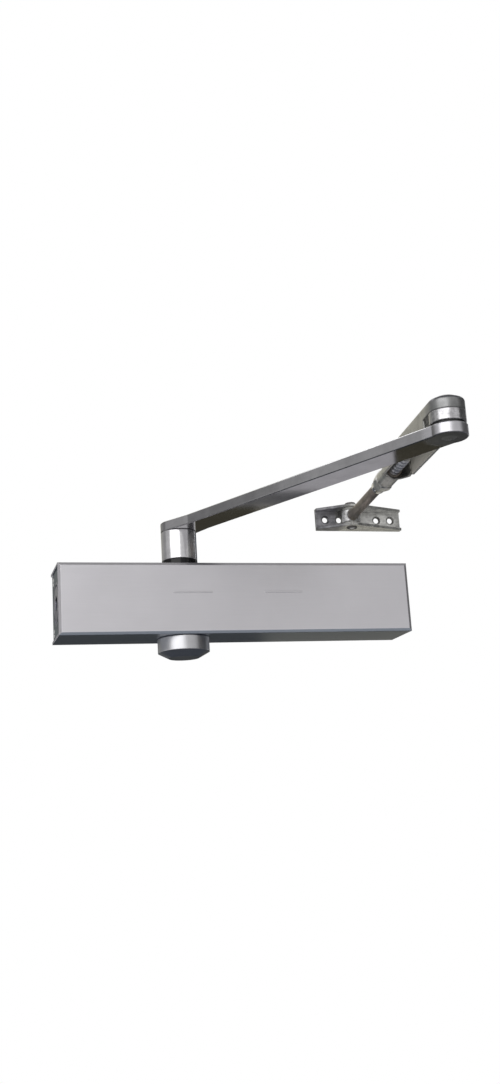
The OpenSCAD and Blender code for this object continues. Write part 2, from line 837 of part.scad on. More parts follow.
module elbow_pin() {
    color("gray") translate([elbow[0], elbow[1], 0]) {
        translate([0, 0, arm_z + slip]) cylinder(h = fore_top - arm_z, r = elbow_pin_r);
        translate([0, 0, fore_top + slip]) chamfered_disc(elbow_head_r, elbow_head_h, rim);
    }
}

module elbow_washer() {
    color([0.1, 0.1, 0.1]) translate([elbow[0], elbow[1], arm_top])
        ring(elbow_washer_r, elbow_pin_r + slip, elbow_washer_t - slip);
}

module elbow_bush() {
    bore = elbow_pin_r + fit;
    inside = nose_r - sheet_t - slip;
    top = fore_top - sheet_t;
    corner = channel_round - sheet_t;
    color("silver") translate([elbow[0], elbow[1], 0]) rotate_extrude() polygon([
        [bore, bush_z0], [nose_r - rim, bush_z0], [nose_r, bush_z0 + rim], [nose_r, nose_z0 - rim / 2],
        [nose_r - rim / 2, nose_z0], [inside, nose_z0], [inside, top - corner], [inside - corner, top], [bore, top]
    ]);
}

// Forearm: a pressed channel that is open below and drawn in to a tube at its end

// Section across the channel, drawn as width and height, for walls of depth h
module channel_section(h) {
    difference() {
        rounded_top(nose_r, h, channel_round);
        translate([0, -sheet_t]) rounded_top(nose_r - sheet_t, h, channel_round - sheet_t);
    }
}

// A rectangle from y = 0 downwards with its two upper corners rounded
module rounded_top(half_w, h, r) {
    translate([-half_w, -h]) square([2 * half_w, h - r]);
    translate([r - half_w, -r - over]) square([2 * (half_w - r), r + over]);
    for (side = [-1, 1]) translate([side * (half_w - r), -r]) circle(r, $fn = 32);
}

module channel_nose() {
    translate([0, 0, fore_top]) rotate([0, 0, 90]) rotate_extrude(angle = 180) intersection() {
        channel_section(nose_h);
        translate([0, -nose_h]) square([nose_r, nose_h]);
    }
}

module channel_run(x0, x1, h) {
    translate([x0, 0, fore_top]) rotate([90, 0, 90]) linear_extrude(x1 - x0) channel_section(h);
}

// A cone between the sheet's top and the lower side of the tube, hollow and open towards the channel
module neck() {
    low = rod_z - neck_r - 1;
    inner_r = socket_r + slip;
    difference() {
        intersection() {
            along_x(channel_l) cylinder(h = neck_l, r1 = nose_r, r2 = neck_r + 0.3);
            translate([channel_l, -nose_r, low]) cube([neck_l, 2 * nose_r, fore_top - low]);
        }
        intersection() {
            along_x(channel_l - 0.5) cylinder(h = neck_l + 1, r1 = nose_r - sheet_t, r2 = inner_r - 0.3);
            translate([channel_l - 1, -nose_r, low - 1])
                cube([neck_l + 2, 2 * nose_r, fore_top - sheet_t - low + 1]);
        }
    }
    along_x(neck_x - 1) ring(neck_r, inner_r, neck_tube_l + 1);
}

module forearm() {
    step_x = nose_r + step_room;
    color([0.62, 0.6, 0.54]) at_elbow() difference() {
        union() {
            channel_nose();
            channel_run(0, step_x, nose_h);
            channel_run(step_x, channel_l, side_h);
            neck();
        }
        translate([0, 0, nose_z0]) cylinder(h = nose_h + over, r = elbow_pin_r + fit);
    }
}

module rod_socket() {
    color("gray") along_rod(socket_x0) ring(socket_r, rod_r + fit, socket_x1 - socket_x0);
}

module clamp_nut() {
    c = nut_bevel;
    r = nut_flats / 2 / cos(30);
    slope = nut_taper / nut_taper_l;
    color("silver") along_rod(nut_x0) difference() {
        intersection() {
            hex_prism(nut_flats, nut_l);
            rotate_extrude() polygon([
                [0, 0], [r - c, 0], [r + over, c + over], [r + over, nut_l - nut_taper_l - over / slope],
                [r - nut_taper, nut_l], [0, nut_l]
            ]);
        }
        translate([0, 0, -over]) cylinder(h = socket_l + over, r = socket_r + fit);
        cylinder(h = nut_l + over, r = rod_r + gap);
    }
}

module adjusting_rod() {
    inner_end = neck_x + neck_tube_l + socket_l - rod_held;
    color([0.6, 0.56, 0.52]) difference() {
        union() {
            along_rod(inner_end) cylinder(h = fore_l - eye_r / 2 - inner_end, r = rod_r);
            at_shoe() translate([0, 0, rod_z - eye_h / 2]) chamfered_disc(eye_r, eye_h, rim);
        }
        at_shoe() cylinder(h = 2 * rod_z, r = pivot_r + fit);
    }
}

// Shoe: a pressed channel that is open towards the arm

// Where the line from point p touches a circle about the pivot
function touch(p, r, side) =
    let (a = atan2(p[1], p[0]) + side * acos(r / norm(p))) [r * cos(a), r * sin(a)];

module flange_outline() {
    left = [-shoe_left, shoe_depth - flange_end];
    right = [shoe_right, shoe_depth - flange_end];
    circle(flange_r);
    polygon([
        [-shoe_left, shoe_depth], left, touch(left, flange_r - tuck, 1), touch(right, flange_r - tuck, -1), right,
        [shoe_right, shoe_depth]
    ]);
}

module shoe() {
    color("silver") at_shoe() difference() {
        union() {
            translate([-shoe_left, shoe_depth - shoe_t, shoe_z0])
                cube([shoe_left + shoe_right, shoe_t, shoe_h]);
            for (z = [shoe_z0, shoe_z0 + shoe_h - shoe_t])
                translate([0, 0, z]) linear_extrude(shoe_t) flange_outline();
        }
        translate([0, 0, shoe_z0 - over]) cylinder(h = shoe_h + 2 * over, r = pivot_r);
        for (pitch = [shoe_pitch_outer, shoe_pitch_inner], side = [-1, 1])
            translate([shoe_mid + side * pitch / 2, shoe_depth + over, rod_z]) rotate([90, 0, 0]) {
                cylinder(h = shoe_t + 2 * over, r = shoe_hole_r, $fn = 48);
                translate([0, 0, over + shoe_t - shoe_sink_h])
                    cylinder(h = shoe_sink_h + over, r1 = shoe_hole_r, r2 = sink_mouth_r, $fn = 48);
            }
    }
}

module shoe_pin() {
    color("gray") at_shoe() {
        translate([0, 0, shoe_z0]) cylinder(h = shoe_h + pivot_out, r = pivot_r);
        translate([0, 0, shoe_z0 - pivot_head_h]) chamfered_disc(pivot_head_r, pivot_head_h, rim);
    }
}

module shoe_bushes() {
    h = (shoe_h - 2 * shoe_t - eye_h) / 2 - gap;
    color("gainsboro") at_shoe() for (z = [shoe_z0 + shoe_t, rod_z + eye_h / 2 + gap])
        translate([0, 0, z]) ring(shoe_bush_r, pivot_r + slip, h);
}

housing();
cover();
left_plug();
right_plug();
plug_seals();
closing_valve();
latching_valve();
upper_bearing_plug();
lower_bearing_plug();
upper_bearing();
lower_bearing();
upper_seal();
lower_seal();
upper_collar();
lower_collar();
spindle_cap();
rack_piston();
piston_seal();
check_ball();
outer_spring();
inner_spring();
spring_seat();
power_screw();
spindle_pinion();
arm_sleeve();
main_arm();
arm_screw();
elbow_pin();
elbow_washer();
elbow_bush();
forearm();
rod_socket();
clamp_nut();
adjusting_rod();
shoe();
shoe_pin();
shoe_bushes();
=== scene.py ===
"""Looks of a surface-mounted overhead door closer, laid out as an add-on and run as a script."""

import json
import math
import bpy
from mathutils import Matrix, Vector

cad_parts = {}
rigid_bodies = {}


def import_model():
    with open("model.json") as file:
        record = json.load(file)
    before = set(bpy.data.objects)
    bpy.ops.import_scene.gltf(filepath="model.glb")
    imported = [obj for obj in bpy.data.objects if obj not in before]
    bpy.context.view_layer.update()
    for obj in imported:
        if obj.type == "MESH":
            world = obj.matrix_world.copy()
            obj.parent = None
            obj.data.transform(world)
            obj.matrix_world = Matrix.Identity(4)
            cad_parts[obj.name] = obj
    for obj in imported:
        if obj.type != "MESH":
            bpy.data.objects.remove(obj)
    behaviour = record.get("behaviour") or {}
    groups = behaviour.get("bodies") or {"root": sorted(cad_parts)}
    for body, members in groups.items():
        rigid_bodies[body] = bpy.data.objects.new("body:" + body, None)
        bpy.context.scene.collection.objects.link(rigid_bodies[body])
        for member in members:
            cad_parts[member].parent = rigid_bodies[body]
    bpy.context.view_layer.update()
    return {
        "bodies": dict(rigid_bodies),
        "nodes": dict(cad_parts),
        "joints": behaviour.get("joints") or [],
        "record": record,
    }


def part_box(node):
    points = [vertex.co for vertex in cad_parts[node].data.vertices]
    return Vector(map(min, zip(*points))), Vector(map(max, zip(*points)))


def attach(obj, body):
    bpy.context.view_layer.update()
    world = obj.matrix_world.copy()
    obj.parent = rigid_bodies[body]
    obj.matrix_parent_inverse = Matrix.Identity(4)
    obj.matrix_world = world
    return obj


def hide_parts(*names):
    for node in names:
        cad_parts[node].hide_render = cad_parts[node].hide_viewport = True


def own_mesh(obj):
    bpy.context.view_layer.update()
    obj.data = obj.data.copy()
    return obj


bl_info = {
    "name": "Overhead door closer looks",
    "version": (1, 0, 0),
    "blender": (4, 5, 0),
    "location": "3D View > Sidebar > Door closer",
    "description": "Finishes, small details and a plain studio for an overhead door closer",
    "category": "Object",
}

import bmesh
import bpy
from bpy.props import FloatProperty, FloatVectorProperty, PointerProperty
from mathutils import Matrix, Vector

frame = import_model()
NODES = frame["nodes"]
JOINTS = {j["name"]: j for j in frame["joints"]}


def joint_place(name):
    return Vector(JOINTS[name]["pos_m"])


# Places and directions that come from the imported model
SPINDLE = joint_place("arm_swing")
ELBOW = joint_place("elbow_swing")
SHOE_PIVOT = joint_place("shoe_swing")
ROD_WAY = Vector(JOINTS["rod_slide"]["axis"]).normalized()
ARM_WAY = Vector((ELBOW.x - SPINDLE.x, ELBOW.y - SPINDLE.y, 0)).normalized()
ARM_TURN = math.atan2(ARM_WAY.y, ARM_WAY.x)
ROD_TURN = math.atan2(ROD_WAY.y, ROD_WAY.x)
DOWN = Vector((0, 0, -1))

# Holes and fits of the new pieces in metres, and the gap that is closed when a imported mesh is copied
EYE_BORE = 0.00405
NUT_BORE = 0.00475
SOCKET_PLAY = 0.00006
WELD = 0.000001

# Radii round the elbow between which the arm head's darker finish and painted highlight, and the forearm nose's
# darker finish, fade out
ARM_HEAD = (0.014, 0.019)
FOREARM_NOSE = (0.0125, 0.016)

# Where two stretches of the forearm begin and end: the rim at its nose's top, which gets painted shade, and the
# inner face of its side, which gets painted light
NOSE_RIM = (-0.0026, -0.0012)
INNER_FACE = (-0.0028, -0.0022)

# How far left of the pivot the shoe's painted shade begins, and where it is full
SHOE_LEFT_PAINTED_SHADE = (0.006, 0.012)

# How the rod widens into its eye: growth of its radius, and place along it from the eye's near edge
ROD_NECK = ((0, -0.007), (0.0001, -0.004), (0.0004, -0.002), (0.0009, 0), (0.0009, 0.0022))

# Angles at which a rounded edge has its points
ARC = (0, 0.4, 0.8, 1.2, math.pi / 2)

# The stretch of a noise that is spread out, for cloudy patches and for grain
CLOUD_RANGE = (0.3, 0.7)
GRAIN_RANGE = (0.35, 0.65)
GRAIN_DEPTH = 0.00004
DENT_DEPTH = 0.0003

# Cosines between a rounded and a flat normal, from an edge that takes the wear and painted shade tone to a
# plain face
EDGE_WEAR_AND_SHADE_RANGE = (0.86, 0.995)

# Cosines between a face's normal and a direction, from no lean to a full one
LEAN_RANGE = (0.2, 0.38)

# Sockets of a Mix node by number, because their names repeat
COLOUR_A, COLOUR_B, COLOUR_OUT = 6, 7, 2
NUMBER_A, NUMBER_B, NUMBER_OUT = 2, 3, 0

# The studio: where the cards and lamps aim, the floor's half width, how far the lying cards are over it, and
# the distances between which the floor fades to white
AIM = Vector((0.05, -0.1, 0.03))
FLOOR_REACH = 8.0
CARD_OVER_FLOOR = 0.01
PALE_FROM, PALE_TO = 0.5, 1.2

# The camera: place in metres, turns in degrees, and its focal length against the frame's height
CAMERA_PLACE = (-0.216352, -0.983921, -0.194761)
CAMERA_YAW, CAMERA_PITCH, CAMERA_ROLL = 16.115, 13.873, -3.525
SENSOR = 36
FOCAL_LENGTH, FRAME_HEIGHT = 1224.96, 1084


# Helpers for node trees

def link(tree, out, into):
    tree.links.new(out, into)


def feed(tree, socket, value):
    """Links an output to a socket, or sets the socket to a number, a vector or a colour."""
    if hasattr(value, "is_output"):
        link(tree, value, socket)
    else:
        socket.default_value = (*value, 1) if socket.type == "RGBA" else value


def shader_node(tree, kind, **values):
    node = tree.nodes.new(kind)
    for name, value in values.items():
        setattr(node, name, value)
    return node


def bare_material(name):
    """A new material, its emptied tree and the socket for its surface."""
    mat = bpy.data.materials.new(name)
    mat.use_nodes = True
    tree = mat.node_tree
    tree.nodes.clear()
    return mat, tree, shader_node(tree, "ShaderNodeOutputMaterial").inputs["Surface"]


def maths(tree, operation, *values):
    """The result of a Math node on outputs or numbers."""
    node = shader_node(tree, "ShaderNodeMath", operation=operation)
    for socket, value in zip(node.inputs, values):
        feed(tree, socket, value)
    return node.outputs["Value"]


def vector_maths(tree, operation, *values):
    """The result of a Vector Math node on outputs or vectors."""
    node = shader_node(tree, "ShaderNodeVectorMath", operation=operation)
    for socket, value in zip(node.inputs, values):
        feed(tree, socket, value)
    return node.outputs["Value" if operation in ("DOT_PRODUCT", "LENGTH") else "Vector"]


def coordinates(tree, kind="Object"):
    return shader_node(tree, "ShaderNodeTexCoord").outputs[kind]


def spread(tree, source, low, high, from_low=0.0, from_high=1.0):
    """Maps the range from_low to from_high onto low to high, and holds what lies outside it."""
    node = shader_node(tree, "ShaderNodeMapRange")
    node.inputs["From Min"].default_value = from_low
    node.inputs["From Max"].default_value = from_high
    node.inputs["To Min"].default_value = low
    node.inputs["To Max"].default_value = high
    link(tree, source, node.inputs["Value"])
    return node.outputs["Result"]


def pattern(tree, size, turn=0.0, detail=4.0, rough=0.6):
    """Noise on object coordinates. size is its grain in metres along X, Y and Z, turned about Z."""
    place = shader_node(tree, "ShaderNodeMapping", vector_type="TEXTURE")
    place.inputs["Rotation"].default_value = (0, 0, turn)
    place.inputs["Scale"].default_value = size
    noise = shader_node(tree, "ShaderNodeTexNoise")
    noise.inputs["Scale"].default_value = 1.0
    noise.inputs["Detail"].default_value = detail
    noise.inputs["Roughness"].default_value = rough
    link(tree, coordinates(tree), place.inputs["Vector"])
    link(tree, place.outputs["Vector"], noise.inputs["Vector"])
    return noise.outputs["Fac"]


def blend_colour(tree, factor, first, second, mode="MIX"):
    """Lays the second colour over the first. Each value may be an output."""
    node = shader_node(tree, "ShaderNodeMix", data_type="RGBA", blend_type=mode)
    feed(tree, node.inputs["Factor"], factor)
    feed(tree, node.inputs[COLOUR_A], first)
    feed(tree, node.inputs[COLOUR_B], second)
    return node.outputs[COLOUR_OUT]


def bumped(tree, height, strength, depth, normal):
    """A normal with a pattern of heights pressed into it."""
    bump = shader_node(tree, "ShaderNodeBump")
    bump.inputs["Strength"].default_value = strength
    bump.inputs["Distance"].default_value = depth
    link(tree, height, bump.inputs["Height"])
    link(tree, normal, bump.inputs["Normal"])
    return bump.outputs["Normal"]


def shade(colour, by):
    """A colour made lighter or darker, and held at white."""
    return tuple(min(1.0, c * by) for c in colour)


def finish(name, colour, metallic=1.0, rough=0.3, grain=(0.02, 0.0003, 0.0003), turn=0.0, scratch=0.12,
           depth=0.15, mottle=0.12, mottle_size=0.012, edge=0.0004, edge_wear_and_shade=0.25, specular=0.5,
           edge_wear_and_shade_tone=1.35, dents=0.0):
    """A worked surface: directional grain, cloudy patches, shallow dents, and rounded edges that are lighter
    from wear where the edge tone is above 1 and darker as painted shade where it is below 1.
    """
    mat, tree, surface = bare_material(name)
    body = shader_node(tree, "ShaderNodeBsdfPrincipled")
    body.inputs["Metallic"].default_value = metallic
    body.inputs["Specular IOR Level"].default_value = specular
    link(tree, body.outputs["BSDF"], surface)

    lines = pattern(tree, grain, turn)
    clouds = pattern(tree, (mottle_size,) * 3, detail=3.0, rough=0.55)
    tinted = blend_colour(tree, spread(tree, clouds, 0, 1, *CLOUD_RANGE),
                          shade(colour, 1 - mottle), shade(colour, 1 + mottle / 3))
    grained = blend_colour(tree, spread(tree, lines, 0, 1, *GRAIN_RANGE),
                           shade((1, 1, 1), 1 - mottle / 2), (1, 1, 1))
    worked = blend_colour(tree, 1.0, tinted, grained, "MULTIPLY")

    soft = shader_node(tree, "ShaderNodeBevel", samples=6)
    soft.inputs["Radius"].default_value = edge
    # Rounded edges take the edge tone: above 1 it stands for wear, below 1 it is painted shade along edges and
    # in the gaps between parts
    if edge_wear_and_shade > 0:
        flat = shader_node(tree, "ShaderNodeNewGeometry").outputs["Normal"]
        flatness = vector_maths(tree, "DOT_PRODUCT", soft.outputs["Normal"], flat)
        edge_wear_and_shade_mask = spread(tree, flatness, edge_wear_and_shade, 0, *EDGE_WEAR_AND_SHADE_RANGE)
        worked = blend_colour(tree, edge_wear_and_shade_mask, worked, shade(colour, edge_wear_and_shade_tone))
    link(tree, worked, body.inputs["Base Color"])

    swing = scratch * rough
    fine = spread(tree, lines, rough - swing, rough + swing, *CLOUD_RANGE)
    coarse = spread(tree, clouds, -0.5 * swing, 0.5 * swing, *CLOUD_RANGE)
    link(tree, maths(tree, "ADD", fine, coarse), body.inputs["Roughness"])

    normal = bumped(tree, lines, depth, GRAIN_DEPTH, soft.outputs["Normal"])
    if dents > 0:
        normal = bumped(tree, clouds, dents, DENT_DEPTH, normal)
    link(tree, normal, body.inputs["Normal"])
    return mat


def leaning(tree, way, both=False):
    """1 on faces that lean towards way, or also away from it with both, and 0 elsewhere."""
    lean = vector_maths(tree, "DOT_PRODUCT", coordinates(tree, "Normal"), way)
    return spread(tree, maths(tree, "ABSOLUTE", lean) if both else lean, 0, 1, *LEAN_RANGE)


def across(tree, origin, way, low, high):
    """0 to 1 as the place along a direction from origin goes from low to high."""
    place = vector_maths(tree, "SUBTRACT", coordinates(tree), origin)
    return spread(tree, vector_maths(tree, "DOT_PRODUCT", place, way), 0, 1, low, high)


def round_axis(tree, centre, inner, outer, inside=1):
    """1 near the upright axis through centre and 0 past the outer radius, or the reverse with inside=0."""
    away = vector_maths(tree, "SUBTRACT", coordinates(tree), centre)
    level = vector_maths(tree, "MULTIPLY", away, (1, 1, 0))
    return spread(tree, vector_maths(tree, "LENGTH", level), inside, 1 - inside, inner, outer)


def principled(tree):
    return next(n for n in tree.nodes if n.type == "BSDF_PRINCIPLED")


def toned(mat, mask, tone, rough, mode="MULTIPLY"):
    """Multiplies the colour by tone, or sets it with MIX, and sets the roughness where the mask is 1."""
    tree = mat.node_tree
    body = principled(tree)
    colour, dull = body.inputs["Base Color"], body.inputs["Roughness"]
    link(tree, blend_colour(tree, mask, colour.links[0].from_socket, tone, mode), colour)
    mix = shader_node(tree, "ShaderNodeMix", data_type="FLOAT")
    link(tree, mask, mix.inputs["Factor"])
    link(tree, dull.links[0].from_socket, mix.inputs[NUMBER_A])
    mix.inputs[NUMBER_B].default_value = rough
    link(tree, mix.outputs[NUMBER_OUT], dull)
    return mat


def wear_on(node, material):
    """Gives every slot of a CAD node this material."""
    for slot in NODES[node].material_slots:
        slot.material = material


# Finishes that more than one operator uses, each made once

def spring_steel():
    return bpy.data.materials.get("spring_wire") or finish(
        "spring_wire", (0.25, 0.22, 0.19), rough=0.35, grain=(0.001,) * 3, edge=0.0003)


def drawn_steel():
    return bpy.data.materials.get("drawn_rod") or finish(
        "drawn_rod", bpy.context.scene.closer_arm.rod, rough=0.42, grain=(0.02, 0.0004, 0.0004), turn=ROD_TURN,
        mottle=0.25)


# Helpers for meshes

def mesh_object(name, mesh):
    obj = bpy.data.objects.new(name, mesh)
    bpy.context.scene.collection.objects.link(obj)
    return obj


def sheet(name, corners, material):
    """A flat four-cornered object."""
    mesh = bpy.data.meshes.new(name)
    mesh.from_pydata(corners, [], [(0, 1, 2, 3)])
    mesh.materials.append(material)
    return mesh_object(name, mesh)


def extent(node, origin, way):
    """How far a CAD node reaches along a direction from a point, as lowest and highest."""
    along = [(v.co - origin).dot(way) for v in NODES[node].data.vertices]
    return min(along), max(along)


def rod_line(node):
    """The rod's axis: its point at the elbow, at the height of a node's middle, and its direction."""
    low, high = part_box(node)
    origin = Vector((ELBOW.x, ELBOW.y, (low.z + high.z) / 2))
    return origin, Vector((SHOE_PIVOT.x - ELBOW.x, SHOE_PIVOT.y - ELBOW.y, 0)).normalized()


def axis_frame(origin, way):
    """A frame whose Z runs along way from origin."""
    return Matrix.Translation(origin) @ way.to_track_quat("Z", "Y").to_matrix().to_4x4()


def lathe(work, profile, frame, sides=64, flats=None):
    """Turns an outline of (radius, height) points about the frame's Z into work.

    An outline that starts and ends at radius 0 closes on the axis, and any other one is a ring. With flats,
    what reaches past a hexagon of that width is cut off, as on a nut turned from bar.
    """
    rings = []
    for r, z in profile:
        ring = []
        for i in range(sides if r > 0 else 1):
            a = 2 * math.pi * i / sides
            reach = min(r, flats / 2 / math.cos(a % (math.pi / 3) - math.pi / 6)) if flats else r
            ring.append(work.verts.new(frame @ Vector((reach * math.cos(a), reach * math.sin(a), z))))
        rings.append(ring)
    pairs = list(zip(rings, rings[1:]))
    if profile[0][0] > 0:
        pairs.append((rings[-1], rings[0]))
    for low, high in pairs:
        for i in range(sides):
            j = (i + 1) % sides
            if len(low) == 1 and len(high) == 1:
                break
            if len(low) == 1:
                work.faces.new((low[0], high[i], high[j]))
            elif len(high) == 1:
                work.faces.new((low[i], high[0], low[j]))
            else:
                work.faces.new((low[i], high[i], high[j], low[j]))


def built(name, work, material, smooth=35):
    """Makes an object from work, with its normals outward and its edges sharp beyond an angle."""
    bmesh.ops.recalc_face_normals(work, faces=work.faces)
    mesh = bpy.data.meshes.new(name)
    work.to_mesh(mesh)
    work.free()
    mesh.shade_smooth()
    mesh.set_sharp_from_angle(angle=math.radians(smooth))
    mesh.materials.append(material)
    return mesh_object(name, mesh)


def helix_tree():
    """A node group that winds a ridge in a helix about Z, with its size and material as inputs."""
    tree = bpy.data.node_groups.new("helix_ridge", "GeometryNodeTree")
    face = tree.interface
    face.new_socket("Geometry", in_out="OUTPUT", socket_type="NodeSocketGeometry")
    for name in ("Turns", "Length", "Radius", "Ridge"):
        face.new_socket(name, in_out="INPUT", socket_type="NodeSocketFloat")
    face.new_socket("Material", in_out="INPUT", socket_type="NodeSocketMaterial")
    given = shader_node(tree, "NodeGroupInput")
    spiral = shader_node(tree, "GeometryNodeCurveSpiral")
    spiral.inputs["Resolution"].default_value = 24
    link(tree, given.outputs["Turns"], spiral.inputs["Rotations"])
    link(tree, given.outputs["Length"], spiral.inputs["Height"])
    link(tree, given.outputs["Radius"], spiral.inputs["Start Radius"])
    link(tree, given.outputs["Radius"], spiral.inputs["End Radius"])
    ridge = shader_node(tree, "GeometryNodeCurvePrimitiveCircle")
    ridge.inputs["Resolution"].default_value = 4
    link(tree, given.outputs["Ridge"], ridge.inputs["Radius"])
    skin = shader_node(tree, "GeometryNodeCurveToMesh")
    skin.inputs["Fill Caps"].default_value = True
    link(tree, spiral.outputs["Curve"], skin.inputs["Curve"])
    link(tree, ridge.outputs["Curve"], skin.inputs["Profile Curve"])
    real = shader_node(tree, "GeometryNodeRealizeInstances")
    link(tree, skin.outputs["Mesh"], real.inputs["Geometry"])
    coat = shader_node(tree, "GeometryNodeSetMaterial")
    link(tree, real.outputs["Geometry"], coat.inputs["Geometry"])
    link(tree, given.outputs["Material"], coat.inputs["Material"])
    out = shader_node(tree, "NodeGroupOutput")
    link(tree, coat.outputs["Geometry"], out.inputs["Geometry"])
    return tree


def helix_mesh(tree, **values):
    """The mesh that the helix group makes with these inputs, with no modifier left on it."""
    base = mesh_object("helix", bpy.data.meshes.new("helix"))
    ridge = base.modifiers.new("ridge", "NODES")
    ridge.node_group = tree
    for socket in tree.interface.items_tree:
        if socket.in_out == "INPUT":
            ridge[socket.identifier] = values[socket.name.lower()]
    base.update_tag()
    bpy.context.view_layer.update()
    seen = base.evaluated_get(bpy.context.evaluated_depsgraph_get())
    mesh = bpy.data.meshes.new_from_object(seen)
    base.modifiers.remove(ridge)
    bpy.data.objects.remove(base)
    return mesh


# Helpers for the studio

def toward(azimuth, elevation):
    """The direction at these degrees from the aim. Azimuth runs from the front to the right."""
    az, el = math.radians(azimuth), math.radians(elevation)
    return Vector((math.sin(az) * math.cos(el), -math.cos(az) * math.cos(el), math.sin(el)))


def card(name, azimuth, elevation, distance, width, height, material):
    """A flat card that faces the aim and shows in the object's metal, but not to the camera."""
    away = toward(azimuth, elevation)
    az = math.radians(azimuth)
    right = Vector((math.cos(az), math.sin(az), 0))
    up = away.cross(right)
    centre = AIM + away * distance
    corners = [tuple(centre + right * (x * width / 2) + up * (y * height / 2))
               for x, y in ((-1, -1), (1, -1), (1, 1), (-1, 1))]
    obj = sheet(name, corners, material)
    obj.visible_camera = False


def card_paint(name, value, tint=(1, 1, 1)):
    """A card's plain colour, lit by itself so that lamps don't change it."""
    mat, tree, surface = bare_material(name)
    glow = shader_node(tree, "ShaderNodeEmission")
    glow.inputs["Color"].default_value = (*tint, 1)
    glow.inputs["Strength"].default_value = value
    link(tree, glow.outputs["Emission"], surface)
    return mat


def seen_or_mirrored(tree):
    """1 on rays that come from the camera or off a mirror-like surface."""
    ray = shader_node(tree, "ShaderNodeLightPath")
    return maths(tree, "MAXIMUM", ray.outputs["Is Camera Ray"], ray.outputs["Is Glossy Ray"])


class BodyFinish(bpy.types.PropertyGroup):
    """Colours of the body's outer pieces"""

    cover: FloatVectorProperty(name="Cover", description="Colour of the clip-on cover",
                               subtype="COLOR", size=3, default=(0.70, 0.685, 0.715))
    housing: FloatVectorProperty(name="Housing", description="Colour of the cast housing",
                                 subtype="COLOR", size=3, default=(0.17, 0.195, 0.21))
    collar: FloatVectorProperty(name="Dust collars", description="Colour of the collars round the spindle",
                                subtype="COLOR", size=3, default=(0.006, 0.006, 0.007))
    cap: FloatVectorProperty(name="Cap", description="Colour of the cap under the body",
                             subtype="COLOR", size=3, default=(0.62, 0.62, 0.64))


class ArmFinish(bpy.types.PropertyGroup):
    """Colours of the arms and the shoe"""

    arm: FloatVectorProperty(name="Main arm", description="Colour of the flat arm",
                             subtype="COLOR", size=3, default=(0.49, 0.485, 0.50))
    sleeve: FloatVectorProperty(name="Sleeve", description="Colour of the turned sleeve and bush",
                                subtype="COLOR", size=3, default=(0.75, 0.74, 0.76))
    forearm: FloatVectorProperty(name="Forearm", description="Colour of the pressed forearm",
                                 subtype="COLOR", size=3, default=(0.55, 0.545, 0.52))
    rod: FloatVectorProperty(name="Rod", description="Colour of the adjusting rod",
                             subtype="COLOR", size=3, default=(0.42, 0.375, 0.335))
    shoe: FloatVectorProperty(name="Shoe", description="Colour of the frame shoe",
                              subtype="COLOR", size=3, default=(0.74, 0.735, 0.71))


class PaintBody(bpy.types.Operator):
    """Gives the cover, housing, plugs and valves their finishes"""

    bl_idname = "closer.paint_body"
    bl_label = "Paint the body"

    def execute(self, context):
        colours = context.scene.closer_body
        satin = finish("satin_cover", colours.cover, metallic=0.9, rough=0.3, grain=(0.03, 0.0006, 0.0006),
                       scratch=0.05, depth=0.012, mottle=0.035, mottle_size=0.05, edge_wear_and_shade=0.3, edge_wear_and_shade_tone=1.1)
        tree = satin.node_tree
        # Painted shade: the cover's faces that lean down are made darker and bluer
        toned(satin, leaning(tree, DOWN), (0.46, 0.52, 0.58), rough=0.3)
        # Painted shade: faces that lean towards either end, the bevels at the cover's left and right edges
        # among them, are made darker and rougher
        toned(satin, leaning(tree, (1, 0, 0), both=True), (0.6, 0.6, 0.6), rough=0.7)
        wear_on("cover", satin)
        wear_on("housing", finish("cast_housing", colours.housing, metallic=0.5, rough=0.5, grain=(0.0009,) * 3,
                                  depth=0.5, mottle=0.25, edge=0.0006))
        plug = finish("turned_plug", (0.27, 0.27, 0.33), grain=(0.01, 0.0003, 0.0003), edge=0.0003)
        for node in ("left_plug", "right_plug", "upper_bearing_plug", "lower_bearing_plug"):
            wear_on(node, plug)
        valve = finish("bright_valve", (0.92, 0.92, 0.92), metallic=0.3, grain=(0.004, 0.0002, 0.0002),
                       edge=0.0002)
        wear_on("closing_valve", valve)
        wear_on("latching_valve", valve)
        return {"FINISHED"}


class PaintSpindle(bpy.types.Operator):
    """Gives the spindle, its bearings, seals, collars and cap their finishes"""

    bl_idname = "closer.paint_spindle"
    bl_label = "Paint the spindle parts"

    def execute(self, context):
        colours = context.scene.closer_body
        rubber = finish("black_rubber", (0.02, 0.02, 0.02), metallic=0, rough=0.65, grain=(0.0006,) * 3,
                        edge=0.0002, edge_wear_and_shade=0)
        for node in ("upper_seal", "lower_seal", "plug_seals", "piston_seal"):
            wear_on(node, rubber)
        collar = finish("collar_nylon", colours.collar, metallic=0, rough=0.14, grain=(0.0008,) * 3,
                        edge=0.0003, edge_wear_and_shade=0, specular=0.3)
        wear_on("upper_collar", collar)
        wear_on("lower_collar", collar)
        wear_on("spindle_cap", finish("polished_cap", colours.cap, rough=0.36, grain=(0.0003, 0.0003, 0.01),
                                      depth=0.05, edge=0.0009))
        ground = finish("ground_bearing", (0.6, 0.6, 0.62), rough=0.2, grain=(0.01, 0.0002, 0.0002))
        for node in ("upper_bearing", "lower_bearing", "check_ball"):
            wear_on(node, ground)
        wear_on("spindle_pinion", finish("hardened_spindle", (0.4, 0.4, 0.42), rough=0.28,
                                         grain=(0.0004, 0.0004, 0.006)))
        return {"FINISHED"}


class PaintCylinder(bpy.types.Operator):
    """Gives the piston, springs and power adjuster their finishes"""

    bl_idname = "closer.paint_cylinder"
    bl_label = "Paint the cylinder parts"

    def execute(self, context):
        oiled = finish("oiled_piston", (0.36, 0.37, 0.39), rough=0.22, grain=(0.0003, 0.01, 0.01))
        wear_on("rack_piston", oiled)
        wear_on("spring_seat", oiled)
        wear_on("outer_spring", spring_steel())
        wear_on("inner_spring", spring_steel())
        wear_on("power_screw", finish("zinc_screw", (0.55, 0.55, 0.53), grain=(0.0003, 0.002, 0.002)))
        return {"FINISHED"}


